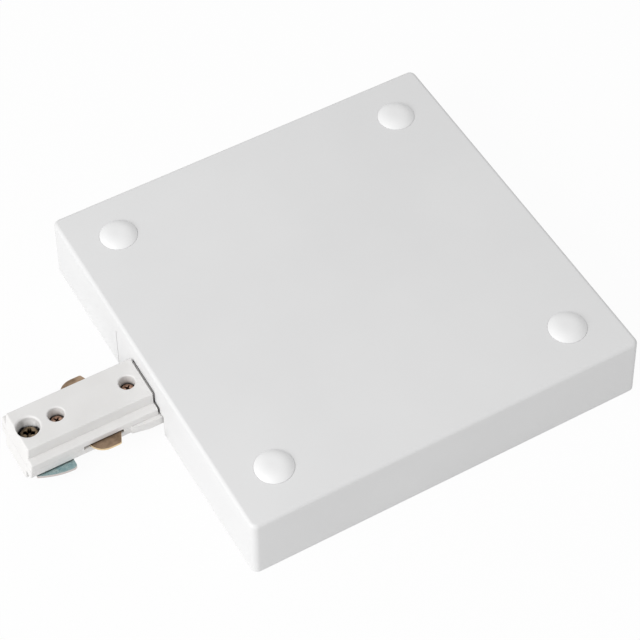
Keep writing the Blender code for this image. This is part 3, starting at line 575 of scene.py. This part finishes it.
sharedScrew = {"headSteps": 64, "headRings": 16, "crown": 0.55, "crownPower": 4,
               "headUnder": ((1, 0.16), (0.985, 0.05), (0.95, 0), (0, 0)),
               "steps": 28, "spareTurns": 3, "spareBelow": 1.5, "intoHead": 0.25, "threadFade": (0.6, 0.8),
               "threadLine": (("root", 0), ("root", 0.12), ("shank", 0.42), ("shank", 0.56), ("root", 0.86),
                              ("root", 1)),
               "pointLength": 2, "pointSlope": 0.7,
               "armShare": 0.56, "armWidth": 0.30, "armFloor": (0.55, 0.6), "armRound": 0.35,
               "recessDepth": 0.6, "recessTop": 1.02, "turn": 0,
               "coneWidth": 0.95, "coneTip": 0.3, "coneDeeper": 0.04, "coneSteps": 24}
screwKinds = {
    "canopyScrew": {"head": 0.0034, "height": 0.0021, "shank": 0.00175, "root": 0.00142, "length": 0.0133,
                    "pitch": 0.0008, "turn": 24},
    "plateScrew": {"head": 0.0034, "height": 0.0021, "shank": 0.00175, "root": 0.00142, "length": 0.0044,
                   "pitch": 0.0008, "turn": 60},
    "groundScrew": {"head": 0.0042, "height": 0.0021, "shank": 0.0019, "root": 0.0015, "length": 0.0015,
                    "pitch": 0.0008, "turn": 12},
    "housingScrew": {"head": 0.0022, "height": 0.0016, "shank": 0.0013, "root": 0.00102, "length": 0.0077,
                     "pitch": 0.0009, "turn": 35, "armWidth": 0.24},
    "terminalScrew": {"head": 0.0026, "height": 0.0019, "shank": 0.0014, "root": 0.00112, "length": 0.0052,
                      "pitch": 0.0006, "turn": 70},
    "lockScrew": {"head": 0.0032, "height": 0.0019, "shank": 0.00175, "root": 0.00146, "length": 0.0074,
                  "pitch": 0.0006, "turn": -29, "armWidth": 0.38, "armShare": 0.60, "recessDepth": 0.75},
}


def threadRadius(height, values):
    crest, root, pitch = values["shank"], values["root"], values["pitch"]
    taper = values["pointLength"] * (crest - root)
    allowed = crest - max(0, taper - (height + values["length"])) * values["pointSlope"]
    start, reach = values["threadFade"]
    if height > -(start + reach) * pitch:
        allowed = min(allowed, root + (crest - root) * max(0, -height / pitch - start) / reach)
    return allowed


def threadShell(values):
    pitch, length, steps = values["pitch"], values["length"], values["steps"]
    turns = math.ceil(length / pitch) + values["spareTurns"]
    below = values["spareBelow"] * pitch
    shape, line = startLine([(values[radius], share * pitch - length - below)
                             for radius, share in values["threadLine"]])
    bmesh.ops.spin(shape, geom=line, cent=(0, 0, 0), axis=(0, 0, 1), dvec=(0, 0, pitch / steps),
                   angle=2 * math.pi * turns, steps=steps * turns, use_merge=False, use_duplicate=False)
    bmesh.ops.remove_doubles(shape, verts=shape.verts, dist=2e-7)
    for height, above in ((values["height"] * values["intoHead"], True), (-length, False)):
        everything = shape.verts[:] + shape.edges[:] + shape.faces[:]
        bmesh.ops.bisect_plane(shape, geom=everything, dist=1e-8, plane_co=(0, 0, height),
                               plane_no=(0, 0, 1), clear_outer=above, clear_inner=not above)
        rim = [edge for edge in shape.edges
               if edge.is_boundary and all(abs(vert.co.z - height) < 1e-7 for vert in edge.verts)]
        bmesh.ops.edgeloop_fill(shape, edges=rim)
    bmesh.ops.recalc_face_normals(shape, faces=shape.faces)
    for vert in shape.verts:
        radius = math.hypot(vert.co.x, vert.co.y)
        allowed = threadRadius(vert.co.z, values)
        if radius > allowed:
            vert.co.x *= allowed / radius
            vert.co.y *= allowed / radius
    return finishMesh(shape, "thread")


def headProfile(values):
    head, height, rings = values["head"], values["height"], values["headRings"]
    points = []
    for ring in range(rings + 1):
        share = math.sin(math.radians(90 * ring / rings))
        points.append((head * share, height * (1 - values["crown"] * share ** values["crownPower"])))
    return points + [(head * across, height * up) for across, up in values["headUnder"]]


def recessArm(values, turn):
    shape = bmesh.new()
    bmesh.ops.create_cube(shape, size=2)
    arm, half = values["head"] * values["armShare"], values["head"] * values["armWidth"] / 2
    top, floor = values["height"] * values["recessTop"], values["height"] * (1 - values["recessDepth"])
    along, across = values["armFloor"]
    for vert in shape.verts:
        lower = vert.co.z < 0
        vert.co.x *= arm * (along if lower else 1)
        vert.co.y *= half * (across if lower else 1)
        vert.co.z = floor if lower else top
    upright = [edge for edge in shape.edges if edge.verts[0].co.z != edge.verts[1].co.z]
    breakEdges(shape, upright, half * values["armRound"], 2)
    bmesh.ops.rotate(shape, verts=shape.verts, cent=(0, 0, 0),
                     matrix=Matrix.Rotation(math.radians(turn), 3, "Z"))
    return finishMesh(shape, "arm")


def recessCone(values):
    shape = bmesh.new()
    wide = values["head"] * values["armWidth"] * values["coneWidth"]
    deep = values["height"] * (values["recessDepth"] + values["coneDeeper"])
    bmesh.ops.create_cone(shape, cap_ends=True, segments=values["coneSteps"], depth=deep,
                          radius1=wide * values["coneTip"], radius2=wide)
    top = values["height"] * values["recessTop"]
    bmesh.ops.translate(shape, verts=shape.verts, vec=(0, 0, top - deep / 2))
    return finishMesh(shape, "cone")


def makeScrew(values):
    mesh = finishMesh(spinProfile(headProfile(values), values["headSteps"]), "screw")
    mesh = booleanApplied(mesh, threadShell(values), "UNION")
    for turn in (values["turn"], values["turn"] + 90):
        mesh = booleanApplied(mesh, recessArm(values, turn))
    mesh = booleanApplied(mesh, recessCone(values))
    radii = mesh.attributes.new("turnRadius", "FLOAT", "POINT")
    radii.data.foreach_set("value", [math.hypot(vert.co.x, vert.co.y) for vert in mesh.vertices])
    return mesh


screwMeshes = {kind: makeScrew({**sharedScrew, **own}) for kind, own in screwKinds.items()}


# The node's own box gives each screw's place: its centre in plan and its foot

def addScrew(name, node, kind, finish, body="feed"):
    low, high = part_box(node)
    copy = screwMeshes[kind].copy()
    copy.name = name
    headFoot = low.z + screwKinds[kind]["length"]
    copy.transform(Matrix.Translation(((low.x + high.x) / 2, (low.y + high.y) / 2, headFoot)))
    addPiece(name, copy, body, node, finishes[finish])


for number in (1, 2, 3, 4):
    addScrew(f"canopyScrew{number}", f"canopy_screw_{number}", "canopyScrew", "zincScrew")
for number in (1, 2):
    addScrew(f"housingScrew{number}", f"housing_screw_{number}", "housingScrew",
             "copperedSteel")
    addScrew(f"plateScrew{number}", f"plate_screw_{number}", "plateScrew", "zincScrew")
for wire in ("line", "neutral", "ground"):
    addScrew(f"{wire}TerminalScrew", f"{wire}_terminal_screw", "terminalScrew", "zincScrew")
addScrew("groundScrew", "ground_screw", "groundScrew", "greenScrew")
addScrew("lockScrew", "lock_screw", "lockScrew", "yellowZinc", "lock_screw_body")
print("screws made")


# Stamped metal: plate, contacts, ground strip and blade, with their sharp edges broken

stampedValues = {"edge": 0.00007, "edgeSteps": 2, "cornerAngle": 0.9, "raise": 0}
bladeValues = {**stampedValues, "raise": 0.0002}  # lies close under the body, as the photograph shows
plateValues = {**stampedValues, "edge": 0.00015}


def stampedCopy(name, node, body, surface, values):
    shape = cleanCopy(node)
    highest = max(vert.co.z for vert in shape.verts)
    upper = [vert for vert in shape.verts if isNear(vert.co.z, [highest])]
    bmesh.ops.translate(shape, verts=upper, vec=(0, 0, values["raise"]))
    corners = [edge for edge in shape.edges if len(edge.link_faces) == 2
               and edge.calc_face_angle_signed() > values["cornerAngle"]
               and isNear(edge.verts[0].co.z, [edge.verts[1].co.z])]
    breakEdges(shape, corners, values["edge"], values["edgeSteps"])
    addPiece(name, finishMesh(shape, name), body, node, surface)


stampedCopy("mountingPlate", "mounting_plate", "feed", finishes["zincSteel"], plateValues)
for name, node in (("lineContact", "line_contact"), ("neutralContact", "neutral_contact"),
                   ("groundStrip", "ground_strip")):
    stampedCopy(name, node, "feed", finishes["contactBrass"], stampedValues)
stampedCopy("groundBlade", "ground_blade", "blade_body", finishes["blueZinc"], bladeValues)
print("stamped pieces made")


# Plug mouldings. The housing's front half ends a little short of the canopy's wall, and the base's
# top is raised until only a hairline is left under the housing.

housingValues = {"wallGap": 0.00025, "shorter": 0.0002}
baseValues = {"raise": 0.00028}


def makeHousing(values):
    shape = cleanCopy("plug_housing")
    collar = [vert for vert in shape.verts if isNear(vert.co.x, [canopyBox[0].x - values["wallGap"]])]
    bmesh.ops.translate(shape, verts=collar, vec=(-values["shorter"], 0, 0))
    print("collar corners moved:", len(collar))
    addPiece("plugHousing", finishMesh(shape, "plugHousing"), "feed", "plug_housing",
             finishes["connectorWhite"])


def makeBase(values):
    shape = cleanCopy("plug_base")
    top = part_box("plug_base")[1].z
    tops = [vert for vert in shape.verts if isNear(vert.co.z, [top])]
    bmesh.ops.translate(shape, verts=tops, vec=(0, 0, values["raise"]))
    print("base corners moved:", len(tops))
    addPiece("plugBase", finishMesh(shape, "plugBase"), "feed", "plug_base",
             finishes["connectorWhite"])


makeHousing(housingValues)
makeBase(baseValues)
print("plug mouldings made")


# Camera, from the canopy's straight edges in the photograph

cameraValues = {"aim": (0.00898, -0.0104, 0.0223), "distance": 0.6454, "azimuth": -28.74,
                "elevation": 51.98, "roll": -1.081, "lens": 122.04, "nearest": 0.01, "farthest": 50}


def makeCamera(values):
    around = math.radians(values["azimuth"])
    up = math.radians(values["elevation"])
    back = Vector((math.sin(around) * math.cos(up), -math.cos(around) * math.cos(up), math.sin(up)))
    data = bpy.data.cameras.new("camera")
    data.lens = values["lens"]
    data.clip_start = values["nearest"]
    data.clip_end = values["farthest"]
    camera = bpy.data.objects.new("camera", data)
    turn = (-back).to_track_quat("-Z", "Y").to_matrix().to_4x4()
    place = Matrix.Translation(Vector(values["aim"]) + back * values["distance"])
    camera.matrix_world = place @ turn @ Matrix.Rotation(math.radians(values["roll"]), 4, "Z")
    bpy.context.collection.objects.link(camera)
    bpy.context.scene.camera = camera


makeCamera(cameraValues)


# World, pale floor and key lamp. The world and the floor look near white to the camera and in
# reflections, and they light the object with less than that.

worldValues = {"ambient": 0.62, "seen": 1}
floorValues = {"size": 6.0, "below": 0.0001, "colour": 0.80, "roughness": 0.9, "white": 0.95}
keyValues = {"power": 5.9, "size": 0.55, "distance": 1.0, "from": (-0.51, -0.11, 0.34)}


def backgroundMask(nodes, links):
    path = nodes.new("ShaderNodeLightPath").outputs
    seen = calculate(nodes, links, "MAXIMUM", path["Is Camera Ray"], path["Is Glossy Ray"])
    return calculate(nodes, links, "MAXIMUM", seen, path["Is Transmission Ray"])


def mixShaders(nodes, links, factor, first, second):
    mix = nodes.new("ShaderNodeMixShader")
    links.new(factor, mix.inputs["Fac"])
    links.new(first.outputs[0], mix.inputs[1])
    links.new(second.outputs[0], mix.inputs[2])
    return mix.outputs[0]


def makeWorld(values):
    world = bpy.data.worlds.new("studio")
    world.use_nodes = True
    nodes, links = world.node_tree.nodes, world.node_tree.links
    ambient = nodes["Background"]
    seen = nodes.new("ShaderNodeBackground")
    for background, strength in ((ambient, values["ambient"]), (seen, values["seen"])):
        background.inputs["Color"].default_value = (1, 1, 1, 1)
        background.inputs["Strength"].default_value = strength
    mixed = mixShaders(nodes, links, backgroundMask(nodes, links), ambient, seen)
    links.new(mixed, nodes["World Output"].inputs["Surface"])
    bpy.context.scene.world = world


def makeFloor(values):
    shape = bmesh.new()
    bmesh.ops.create_grid(shape, x_segments=1, y_segments=1, size=values["size"])
    bmesh.ops.translate(shape, verts=shape.verts, vec=(0, 0, -values["below"]))
    floor = bpy.data.objects.new("floor", finishMesh(shape, "floor"))
    bpy.context.collection.objects.link(floor)
    surface = bpy.data.materials.new("paleFloor")
    surface.use_nodes = True
    nodes, links = surface.node_tree.nodes, surface.node_tree.links
    matt = nodes["Principled BSDF"]
    matt.inputs["Base Color"].default_value = (values["colour"], values["colour"], values["colour"], 1)
    matt.inputs["Roughness"].default_value = values["roughness"]
    white = nodes.new("ShaderNodeEmission")
    share = calculate(nodes, links, "MULTIPLY", backgroundMask(nodes, links), values["white"])
    mixed = mixShaders(nodes, links, share, matt, white)
    links.new(mixed, nodes["Material Output"].inputs["Surface"])
    floor.data.materials.append(surface)


def makeKeyLamp(values):
    data = bpy.data.lights.new("key", "AREA")
    data.energy = values["power"]
    data.size = values["size"]
    lamp = bpy.data.objects.new("key", data)
    away = Vector(values["from"]).normalized()
    turn = (-away).to_track_quat("-Z", "Y").to_matrix().to_4x4()
    lamp.matrix_world = Matrix.Translation(canopyCentre + away * values["distance"]) @ turn
    bpy.context.collection.objects.link(lamp)


makeWorld(worldValues)
makeFloor(floorValues)
makeKeyLamp(keyValues)
bpy.context.scene.view_settings.view_transform = "Standard"
print("camera, floor and lamps made")
